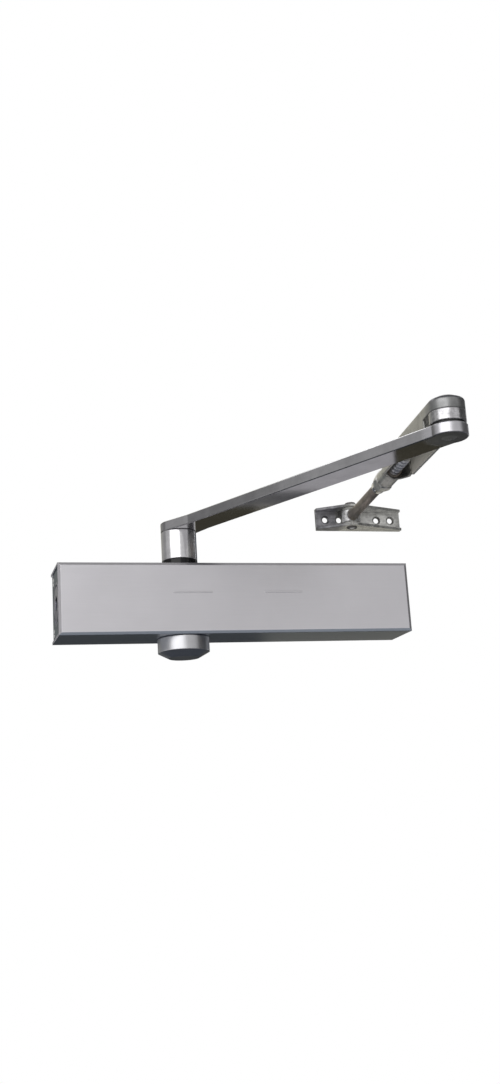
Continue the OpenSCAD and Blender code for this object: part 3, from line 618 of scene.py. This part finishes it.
class PaintArm(bpy.types.Operator):
    """Gives the main arm, its sleeve and screw, and the elbow's pin, washer and bush their finishes"""

    bl_idname = "closer.paint_arm"
    bl_label = "Paint the main arm"

    def execute(self, context):
        colours = context.scene.closer_arm
        # The arm gets painted shade and a painted highlight: its rounded edges and its underside are darkened,
        # its head is darker and rougher, and the head's faces that lean to the front are painted lighter as a
        # highlight
        satin = finish("satin_arm", colours.arm, rough=0.1, grain=(0.015, 0.0004, 0.0004), turn=ARM_TURN,
                       depth=0.06, mottle=0.15, edge=0.0008, edge_wear_and_shade=0.8, edge_wear_and_shade_tone=0.5, dents=0.06)
        tree = satin.node_tree
        head = round_axis(tree, ELBOW, *ARM_HEAD)
        head_painted_highlight = maths(tree, "MULTIPLY", head, leaning(tree, (0, -1, 0)))
        toned(satin, leaning(tree, DOWN), (0.74, 0.74, 0.74), rough=0.1)
        toned(satin, head, (0.75, 0.75, 0.75), rough=0.3)
        toned(satin, head_painted_highlight, (1.75, 1.75, 1.78), rough=0.33)
        wear_on("main_arm", satin)
        # The sleeve's and the bush's rounded edges are darkened as painted shade, the bush's most, standing in
        # for the dark gaps beside it
        wear_on("arm_sleeve", finish("turned_sleeve", colours.sleeve, rough=0.2, grain=(0.02, 0.02, 0.0003),
                                     depth=0.1, edge=0.0008, edge_wear_and_shade=0.7, edge_wear_and_shade_tone=0.45))
        wear_on("elbow_bush", finish("turned_bush", shade(colours.sleeve, 0.85), rough=0.24,
                                     grain=(0.02, 0.02, 0.0003), depth=0.1, mottle=0.4, mottle_size=0.004,
                                     edge=0.001, edge_wear_and_shade=0.9, edge_wear_and_shade_tone=0.3, dents=0.35))
        screw = finish("zinc_hardware", (0.42, 0.42, 0.43), grain=(0.002,) * 3, edge=0.0003)
        wear_on("arm_screw", screw)
        wear_on("elbow_pin", screw)
        # The elbow's washer is made near black as painted shade for the gap between the bush and the arm's head
        wear_on("elbow_washer", finish("washer_painted_gap_shade", (0.01, 0.01, 0.011), metallic=0, rough=0.5,
                                       grain=(0.001,) * 3, edge_wear_and_shade=0))
        return {"FINISHED"}


class PaintForearm(bpy.types.Operator):
    """Gives the forearm, its socket, the rod, the shoe and its bushes their finishes"""

    bl_idname = "closer.paint_forearm"
    bl_label = "Paint the forearm and shoe"

    def execute(self, context):
        colours = context.scene.closer_arm
        wear_on("forearm", self.channel(colours.forearm))
        wear_on("rod_socket", drawn_steel())
        wear_on("adjusting_rod", drawn_steel())
        zinc = finish("bright_zinc_shoe", colours.shoe, metallic=0.7, rough=0.24, grain=(0.01, 0.0006, 0.0006),
                      depth=0.06, mottle=0.55, mottle_size=0.006, edge=0.0006, dents=0.4, edge_wear_and_shade_tone=0.8)
        tree = zinc.node_tree
        left = Vector((-1, 0, 0))
        # Painted shade: the shoe's rounded edges and its faces that lean to the left are made darker, the
        # left-leaning ones rougher as well
        toned(zinc, leaning(tree, left), (0.42, 0.42, 0.42), rough=0.5)
        # Painted shade: the part of the shoe left of the pivot is made darker and bluer
        toned(zinc, across(tree, SHOE_PIVOT, left, *SHOE_LEFT_PAINTED_SHADE), (0.58, 0.58, 0.64), rough=0.34)
        wear_on("shoe", zinc)
        wear_on("shoe_bushes", finish("natural_bush", (0.6, 0.6, 0.57), metallic=0, rough=0.5,
                                      grain=(0.001,) * 3, edge_wear_and_shade=0))
        return {"FINISHED"}

    def channel(self, colour):
        """Blotchy nickel, with a plainer, darker nose whose top rim gets painted shade, rounded edges darkened
        as painted shade, and an inner face painted pale and made less metallic as painted light.
        """
        metallic, dull = 0.8, 0.1
        # The channel's rounded edges are darkened as painted shade
        nickel = finish("nickel_channel", colour, metallic=metallic, grain=(0.012, 0.0005, 0.0005),
                        turn=ROD_TURN, depth=0.1, mottle=0.3, mottle_size=0.008, edge=0.0016, edge_wear_and_shade=0.9,
                        edge_wear_and_shade_tone=0.35, dents=0.2)
        tree = nickel.node_tree
        nose = round_axis(tree, ELBOW, *FOREARM_NOSE)
        toned(nickel, nose, (0.6, 0.61, 0.64), rough=0.36)
        # Painted shade: the rim at the nose's top is darkened further
        top = Vector((0, 0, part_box("forearm")[1].z))
        rim = maths(tree, "MULTIPLY", nose, across(tree, top, (0, 0, 1), *NOSE_RIM))
        toned(nickel, rim, (0.35, 0.35, 0.4), rough=0.36)

        # Painted light: the inner face of the side wall is made pale, rough and less metallic, dull being its
        # metallic, so that it looks lit
        side = Vector((ROD_WAY.y, -ROD_WAY.x, 0)) * (1 if ROD_WAY.y > 0 else -1)
        reach = extent("forearm", ELBOW, side)[1]
        near_wall = across(tree, ELBOW + side * reach, side, *INNER_FACE)
        inside = maths(tree, "MULTIPLY", near_wall, leaning(tree, -side))
        link(tree, spread(tree, inside, metallic, dull), principled(tree).inputs["Metallic"])
        return toned(nickel, inside, (0.92, 0.89, 0.80), rough=0.6, mode="MIX")


class SpringSizes(bpy.types.PropertyGroup):
    """Where the springs part"""

    parting: FloatProperty(name="Parting", subtype="FACTOR", default=0.5, min=0.3, max=0.7,
                           description="Where the springs part, as a share of their length from the piston")


class BuildSprings(bpy.types.Operator):
    """Builds each spring in two closed halves, a front and a rear one, and keeps both on the body"""

    bl_idname = "closer.build_springs"
    bl_label = "Build the springs"

    def execute(self, context):
        share = context.scene.closer_spring.parting
        for node in ("outer_spring", "inner_spring"):
            low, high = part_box(node)
            plane = low.x + (high.x - low.x) * share
            for end, joint, front in (("front", "piston_slide", True), ("rear", "seat_slide", False)):
                half = self.half(node, end, plane, front)
                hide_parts(node)
                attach(half, "body")
                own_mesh(half)
        return {"FINISHED"}

    def half(self, node, end, plane, front):
        """A closed copy of the spring on one side of the plane."""
        work = bmesh.new()
        work.from_mesh(NODES[node].data)
        bmesh.ops.remove_doubles(work, verts=work.verts, dist=WELD)
        bmesh.ops.bisect_plane(work, geom=work.verts[:] + work.edges[:] + work.faces[:],
                               plane_co=(plane, 0, 0), plane_no=(1, 0, 0),
                               clear_outer=front, clear_inner=not front)
        bmesh.ops.holes_fill(work, edges=[e for e in work.edges if e.is_boundary])
        if any(not e.is_manifold for e in work.edges):
            raise RuntimeError("a half of " + node + " isn't closed")
        return built(node + "_" + end, work, spring_steel())


class RodSizes(bpy.types.PropertyGroup):
    """Sizes of the rod's thread and eye"""

    pitch: FloatProperty(name="Thread pitch", description="Distance from thread to thread on the rod",
                         default=0.00125, min=0.0008, max=0.002, unit="LENGTH", precision=5)
    ridge: FloatProperty(name="Thread height", description="Height of the thread over its root",
                         default=0.00055, min=0.0003, max=0.0008, unit="LENGTH", precision=5)
    eye_edge: FloatProperty(name="Eye edge", description="Rounding of the rod's eye",
                            default=0.0012, min=0.0005, max=0.002, unit="LENGTH", precision=5)


class BuildRod(bpy.types.Operator):
    """Builds the adjusting rod with its thread, shank and rounded eye"""

    bl_idname = "closer.build_rod"
    bl_label = "Build the rod"

    def execute(self, context):
        sizes = context.scene.closer_rod
        low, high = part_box("adjusting_rod")
        origin, way = rod_line("adjusting_rod")
        eye_place = Vector((SHOE_PIVOT.x, SHOE_PIVOT.y, origin.z))
        reach = (eye_place - origin).length
        start, end = extent("adjusting_rod", origin, way)
        eye_r, half = end - reach, (high.z - low.z) / 2
        eye_start = reach - eye_r
        rod_r = self.shank_radius(origin, way, start)
        past_nut, chamfer, thread_gap, bright_neck = 0.002, 0.0008, 0.0015, 0.001
        thread_end = extent("clamp_nut", origin, way)[0] + context.scene.closer_nut.length + past_nut
        core = rod_r - sizes.ridge
        if eye_r <= 0 or thread_end <= start:
            raise RuntimeError("the rod's sizes don't follow from the packed model")

        work = bmesh.new()
        neck = [(rod_r + growth, eye_start + along) for growth, along in ROD_NECK]
        lathe(work, [(0, start), (core - chamfer, start), (core, start + chamfer), (core, thread_end),
                     (rod_r, thread_end + chamfer), *neck, (0, neck[-1][1])], axis_frame(origin, way))
        self.eye(work, eye_place, eye_r, half, sizes.eye_edge)

        length = thread_end - start - thread_gap
        coat = finish("rolled_thread", (0.72, 0.72, 0.77), grain=(0.0008,) * 3, mottle=0.2)
        ridge = helix_mesh(helix_tree(), turns=length / sizes.pitch, length=length, radius=core,
                           ridge=sizes.ridge, material=coat)
        ridge.transform(axis_frame(origin + way * (start + chamfer), way))
        work.from_mesh(ridge)
        # Slot 0 is the thread, slot 1 the bare shank and slot 2 the eye
        for face in work.faces:
            along = (face.calc_center_median() - origin).dot(way)
            if along > thread_end:
                face.material_index = 2 if along > eye_start - bright_neck else 1
        rod = built("threaded_rod", work, coat)
        rod.data.materials.append(drawn_steel())
        rod.data.materials.append(finish("bright_eye", (0.86, 0.86, 0.86), metallic=0.5, rough=0.28,
                                         grain=(0.002,) * 3, mottle=0.4, mottle_size=0.004, edge=0.0008,
                                         dents=0.3))
        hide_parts("adjusting_rod")
        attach(rod, "rod")
        return {"FINISHED"}

    def shank_radius(self, origin, way, start):
        """The rod's radius, measured over the first millimetre of its threaded end."""
        aside = Vector((-way.y, way.x, 0))
        near = [v.co for v in NODES["adjusting_rod"].data.vertices if (v.co - origin).dot(way) < start + 0.001]
        return max(abs((p - origin).dot(aside)) for p in near)

    def eye(self, work, place, radius, half, edge):
        """Adds the eye: an upright ring with rounded outer edges and a slight bevel at its bore."""
        bevel = 0.0004
        rim = [(radius - edge * (1 - math.sin(t)), half - edge * (1 - math.cos(t))) for t in ARC]
        lathe(work, [(EYE_BORE, -half + bevel), (EYE_BORE + bevel, -half), *((r, -z) for r, z in rim),
                     *reversed(rim), (EYE_BORE + bevel, half), (EYE_BORE, half - bevel)],
              Matrix.Translation(place), sides=72)


class NutSizes(bpy.types.PropertyGroup):
    """Sizes of the clamp nut and its lip"""

    flats: FloatProperty(name="Width across flats", description="Width of the clamp nut across its flats",
                         default=0.0142, min=0.012, max=0.016, unit="LENGTH", precision=4)
    length: FloatProperty(name="Length", description="Length of the clamp nut",
                          default=0.0172, min=0.015, max=0.022, unit="LENGTH", precision=4)
    taper: FloatProperty(name="Taper", description="Length of the nut's tapered nose",
                         default=0.0098, min=0.004, max=0.012, unit="LENGTH", precision=4)
    mouth: FloatProperty(name="Mouth radius", description="Outer radius of the nut at its mouth",
                         default=0.0059, min=0.0055, max=0.007, unit="LENGTH", precision=4)
    lip: FloatProperty(name="Lip width", description="Width of the bright lip at the nut's mouth",
                       default=0.0058, min=0.001, max=0.008, unit="LENGTH", precision=4)


class BuildNut(bpy.types.Operator):
    """Builds the clamp nut with its tapered nose, and the bright lip at its mouth"""

    bl_idname = "closer.build_nut"
    bl_label = "Build the clamp nut"

    def execute(self, context):
        sizes = context.scene.closer_nut
        origin, way = rod_line("clamp_nut")
        start, cad_end = extent("clamp_nut", origin, way)
        frame_here = axis_frame(origin + way * start, way)
        socket_end = extent("rod_socket", origin, way)[1] - start
        socket_r = max(abs(v.co.z - origin.z) for v in NODES["rod_socket"].data.vertices) + SOCKET_PLAY
        length, corner = sizes.length, sizes.flats / 2 / math.cos(math.pi / 6)
        past_socket, ledge_gap = 0.002, 0.0004
        if not socket_end + past_socket < length <= cad_end - start:
            raise RuntimeError("the nut's length doesn't cover the socket or leaves the packed nut")

        chamfer, edge, bevel, steps = 0.0014, 0.0004, 0.0003, 6
        taper = [(corner + (sizes.mouth - corner) * k / steps, length - sizes.taper * (1 - k / steps))
                 for k in range(steps + 1)]
        mouth, ledge = length + bevel, socket_end + ledge_gap
        work = bmesh.new()
        lathe(work, [(socket_r, 0), (corner - chamfer, 0), (corner, chamfer), *taper,
                     (sizes.mouth - edge, mouth), (NUT_BORE, mouth), (NUT_BORE, ledge), (socket_r, ledge)],
              frame_here, sides=96, flats=sizes.flats)
        nickel = finish("nickel_nut", shade(context.scene.closer_arm.forearm, 1.6), rough=0.34,
                        grain=(0.004, 0.001, 0.001), turn=ROD_TURN, mottle=0.25)
        nut = built("clamp_nut_faced", work, nickel, smooth=20)
        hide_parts("clamp_nut")
        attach(nut, "nut")

        lip_r, top = 0.0056, length + sizes.lip
        rounding = [(lip_r - edge * (1 - math.cos(t)), top - edge * (1 - math.sin(t))) for t in ARC]
        work = bmesh.new()
        lathe(work, [(NUT_BORE, length), (lip_r, length), *rounding, (NUT_BORE, top)], frame_here)
        lip = built("nut_lip", work, finish("bright_lip", (0.95, 0.95, 0.95), rough=0.14, grain=(0.0003,) * 3))
        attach(lip, "nut")
        return {"FINISHED"}


class RivetSizes(bpy.types.PropertyGroup):
    """Sizes of the rivet's peened ends"""

    dish: FloatProperty(name="Dish", default=0.0006, min=0.0002, max=0.001, unit="LENGTH", precision=5,
                        description="Depth of the ring that the peening leaves round the rivet's middle")
    button: FloatProperty(name="Button", description="Radius of the raised middle of the rivet's ends",
                          default=0.0021, min=0.001, max=0.003, unit="LENGTH", precision=5)


class BuildRivet(bpy.types.Operator):
    """Builds the shoe's pivot rivet with its peened ends"""

    bl_idname = "closer.build_rivet"
    bl_label = "Build the shoe's rivet"

    def execute(self, context):
        sizes = context.scene.closer_rivet
        low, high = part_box("shoe_pin")
        shoe_low, shoe_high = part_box("shoe")
        axis = Vector((SHOE_PIVOT.x, SHOE_PIVOT.y, 0))
        inset, fade = 0.0001, 0.0006
        shank = [v.co for v in NODES["shoe_pin"].data.vertices if low.z + inset < v.co.z < high.z - inset]
        shank_r = min((Vector((p.x, p.y, 0)) - axis).length for p in shank)
        head_r = (high.x - low.x) / 2
        bottom = self.head(sizes, low.z, shoe_low.z, 1, head_r, shank_r)
        top = self.head(sizes, high.z, shoe_high.z, -1, head_r, shank_r)
        work = bmesh.new()
        lathe(work, [(0, low.z), *bottom, *reversed(top), (0, high.z)], Matrix.Translation(axis), sides=72)
        peened = finish("peened_rivet", (0.9, 0.9, 0.88), metallic=0.35, grain=(0.001,) * 3, mottle=0.3,
                        mottle_size=0.002, edge=0.0003, dents=0.3)
        ring = round_axis(peened.node_tree, axis, sizes.button, sizes.button + fade, inside=0)
        rivet = built("pivot_rivet", work, toned(peened, ring, (0.16, 0.15, 0.15), rough=0.4))
        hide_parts("shoe_pin")
        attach(rivet, "frame_shoe")
        return {"FINISHED"}

    def head(self, sizes, tip, seat, way, head_r, shank_r):
        """One end's outline from its middle: the button, the sunk ring, the rounded rim and the shank."""
        button, slope = sizes.button, 0.0004
        rim, crest, roll = 0.0012, 0.0005, 0.0002
        thick = abs(seat - tip)
        deep = min(sizes.dish, thick * 0.6)
        return [(button * 0.7, tip), (button, tip + way * deep * 0.4),
                (button + slope, tip + way * deep), (head_r - rim, tip + way * deep),
                (head_r - crest, tip + way * deep * 0.5),
                (head_r, tip + way * min(thick * 0.8, deep + roll)),
                (head_r, seat), (shank_r, seat)]


class StageSettings(bpy.types.PropertyGroup):
    """The studio's floor and light"""

    floor_depth: FloatProperty(name="Floor depth", description="How far the floor lies below the body's middle",
                               default=0.6, min=0.2, max=3.0, unit="LENGTH")
    ambient: FloatProperty(name="Ambient light", description="Brightness of the world on the object",
                           default=0.45, min=0, max=1)


class BuildStage(bpy.types.Operator):
    """Makes the floor, the background, the cards, the lamps and the camera"""

    bl_idname = "closer.build_stage"
    bl_label = "Build the stage"

    def execute(self, context):
        settings = context.scene.closer_stage
        scene = context.scene
        scene.view_settings.view_transform = "Standard"
        self.background(scene, settings.ambient)
        self.floor(-settings.floor_depth)
        self.cards(CARD_OVER_FLOOR - settings.floor_depth)
        self.lamps(scene)
        self.camera(scene)
        return {"FINISHED"}

    def background(self, scene, ambient):
        """White to the camera, in mirrors and through glass, and dimmer as light on the object."""
        world = bpy.data.worlds.new("studio")
        scene.world = world
        world.use_nodes = True
        tree = world.node_tree
        back = tree.nodes["Background"]
        back.inputs["Color"].default_value = (1, 1, 1, 1)
        through = shader_node(tree, "ShaderNodeLightPath").outputs["Is Transmission Ray"]
        white = maths(tree, "MAXIMUM", seen_or_mirrored(tree), through)
        link(tree, spread(tree, white, ambient, 1.0), back.inputs["Strength"])

    def floor(self, height):
        """A pale floor that takes the shadow near the object and fades to white round it."""
        mat, tree, surface = bare_material("pale_floor")
        paint = shader_node(tree, "ShaderNodeBsdfDiffuse")
        paint.inputs["Color"].default_value = (0.85, 0.85, 0.85, 1)
        glow = shader_node(tree, "ShaderNodeEmission")
        away = spread(tree, vector_maths(tree, "LENGTH", coordinates(tree)), 0, 1, PALE_FROM, PALE_TO)
        mix = shader_node(tree, "ShaderNodeMixShader")
        link(tree, maths(tree, "MULTIPLY", away, seen_or_mirrored(tree)), mix.inputs["Fac"])
        link(tree, paint.outputs["BSDF"], mix.inputs[1])
        link(tree, glow.outputs["Emission"], mix.inputs[2])
        link(tree, mix.outputs["Shader"], surface)
        r = FLOOR_REACH
        sheet("floor", [(-r, -r, height), (r, -r, height), (r, r, height), (-r, r, height)], mat)

    def cards(self, height):
        """Stands the cards that show in the metal round the object, and lays others just over the floor."""
        dark = card_paint("dark_card", 0.10)
        slate = card_paint("slate_card", 0.085, (0.736, 0.828, 1.0))
        olive = card_paint("olive_card", 0.075, (1.0, 0.92, 0.66))
        bluish = card_paint("bluish_card", 0.11, (0.45, 0.74, 1.0))
        grey = card_paint("grey_card", 0.5)
        beige = card_paint("beige_card", 0.6, (1.0, 0.97, 0.84))
        shaded = card_paint("shaded_card", 0.30)
        muted = card_paint("muted_card", 0.36, (1.0, 1.0, 0.95))
        light = card_paint("light_card", 0.675)
        for name, azimuth, elevation, distance, width, tall, material in (
            ("card_right", 84, 8, 1.5, 2.0, 1.7, dark),
            ("card_front_right", 19, 14, 1.7, 1.7, 1.6, light),
            ("card_left", -91, 14, 1.5, 0.95, 1.4, grey),
            ("card_left_dim", -121, 14, 1.48, 0.75, 1.4, shaded),
            ("card_left_back", -146, 16, 1.45, 1.1, 1.4, muted),
            ("card_back", 183, 24, 1.5, 1.2, 1.2, beige),
            ("card_back_low", 178, -1, 1.48, 1.0, 0.55, slate),
            ("card_behind_shoe", 152, -8.3, 0.625, 0.26, 0.09, beige),
            ("card_back_right", 145, 13, 1.45, 1.1, 1.3, slate),
            ("card_above", 20, 80, 1.1, 1.9, 1.7, shaded),
        ):
            card(name, azimuth, elevation, distance, width, tall, material)
        for name, left, right, front, back, material in (
            ("card_floor", -0.9, 1.5, -0.7, 1.3, slate),
            ("card_floor_back", -0.2, 1.5, 1.3, 2.7, olive),
            ("card_floor_side", -1.8, -0.6, 1.3, 2.7, olive),
            ("card_floor_far", -1.8, 3.5, 2.7, 7.5, bluish),
        ):
            lying = sheet(name, [(left, front, height), (right, front, height),
                                 (right, back, height), (left, back, height)], material)
            lying.visible_camera = lying.visible_shadow = lying.visible_diffuse = False

    def lamps(self, scene):
        for name, azimuth, elevation, distance, size, power in (
            ("softbox_left", -40, 24, 1.6, (1.9, 1.5), 10.5),
            ("fill_back", 200, 62, 1.7, (1.0, 0.8), 5),
        ):
            data = bpy.data.lights.new(name, "AREA")
            data.shape = "RECTANGLE"
            data.size, data.size_y = size
            data.energy = power
            lamp = bpy.data.objects.new(name, data)
            scene.collection.objects.link(lamp)
            away = toward(azimuth, elevation)
            lamp.location = AIM + away * distance
            lamp.rotation_euler = (-away).to_track_quat("-Z", "Y").to_euler()

    def camera(self, scene):
        yaw, pitch, roll = (math.radians(turn) for turn in (CAMERA_YAW, CAMERA_PITCH, CAMERA_ROLL))
        ahead = Vector((math.sin(yaw) * math.cos(pitch), math.cos(yaw) * math.cos(pitch), math.sin(pitch)))
        right = Vector((math.cos(yaw), -math.sin(yaw), 0))
        up = right.cross(ahead)
        x = right * math.cos(roll) + up * math.sin(roll)
        y = up * math.cos(roll) - right * math.sin(roll)
        data = bpy.data.cameras.new("camera")
        data.sensor_width = SENSOR
        data.lens = SENSOR * FOCAL_LENGTH / FRAME_HEIGHT
        data.clip_start = 0.01
        cam = bpy.data.objects.new("camera", data)
        scene.collection.objects.link(cam)
        turn = Matrix((x, y, -ahead)).transposed().to_4x4()
        cam.matrix_world = Matrix.Translation(CAMERA_PLACE) @ turn
        scene.camera = cam


class CloserPanel(bpy.types.Panel):
    """Lists the settings and the steps that dress the door closer"""

    bl_idname = "VIEW3D_PT_door_closer"
    bl_label = "Door closer"
    bl_space_type = "VIEW_3D"
    bl_region_type = "UI"
    bl_category = "Door closer"

    def draw(self, context):
        scene = context.scene
        for group in (scene.closer_body, scene.closer_arm, scene.closer_spring, scene.closer_rod,
                      scene.closer_nut, scene.closer_rivet, scene.closer_stage):
            for name in group.bl_rna.properties.keys():
                if name not in ("rna_type", "name"):
                    self.layout.prop(group, name)
        for step in STEPS:
            self.layout.operator(step.bl_idname)


STEPS = (PaintBody, PaintSpindle, PaintCylinder, PaintArm, PaintForearm, BuildSprings, BuildRod, BuildNut,
         BuildRivet, BuildStage)
GROUPS = (BodyFinish, ArmFinish, SpringSizes, RodSizes, NutSizes, RivetSizes, StageSettings)


def register():
    for cls in (*GROUPS, *STEPS, CloserPanel):
        bpy.utils.register_class(cls)
    bpy.types.Scene.closer_body = PointerProperty(type=BodyFinish)
    bpy.types.Scene.closer_arm = PointerProperty(type=ArmFinish)
    bpy.types.Scene.closer_spring = PointerProperty(type=SpringSizes)
    bpy.types.Scene.closer_rod = PointerProperty(type=RodSizes)
    bpy.types.Scene.closer_nut = PointerProperty(type=NutSizes)
    bpy.types.Scene.closer_rivet = PointerProperty(type=RivetSizes)
    bpy.types.Scene.closer_stage = PointerProperty(type=StageSettings)


def unregister():
    del bpy.types.Scene.closer_stage
    del bpy.types.Scene.closer_rivet
    del bpy.types.Scene.closer_nut
    del bpy.types.Scene.closer_rod
    del bpy.types.Scene.closer_spring
    del bpy.types.Scene.closer_arm
    del bpy.types.Scene.closer_body
    for cls in (CloserPanel, *reversed(STEPS), *reversed(GROUPS)):
        bpy.utils.unregister_class(cls)


def main():
    register()
    bpy.ops.closer.paint_body()
    bpy.ops.closer.paint_spindle()
    bpy.ops.closer.paint_cylinder()
    bpy.ops.closer.paint_arm()
    bpy.ops.closer.paint_forearm()
    bpy.ops.closer.build_springs()
    bpy.ops.closer.build_rod()
    bpy.ops.closer.build_nut()
    bpy.ops.closer.build_rivet()
    bpy.ops.closer.build_stage()


if __name__ == "__main__":
    main()
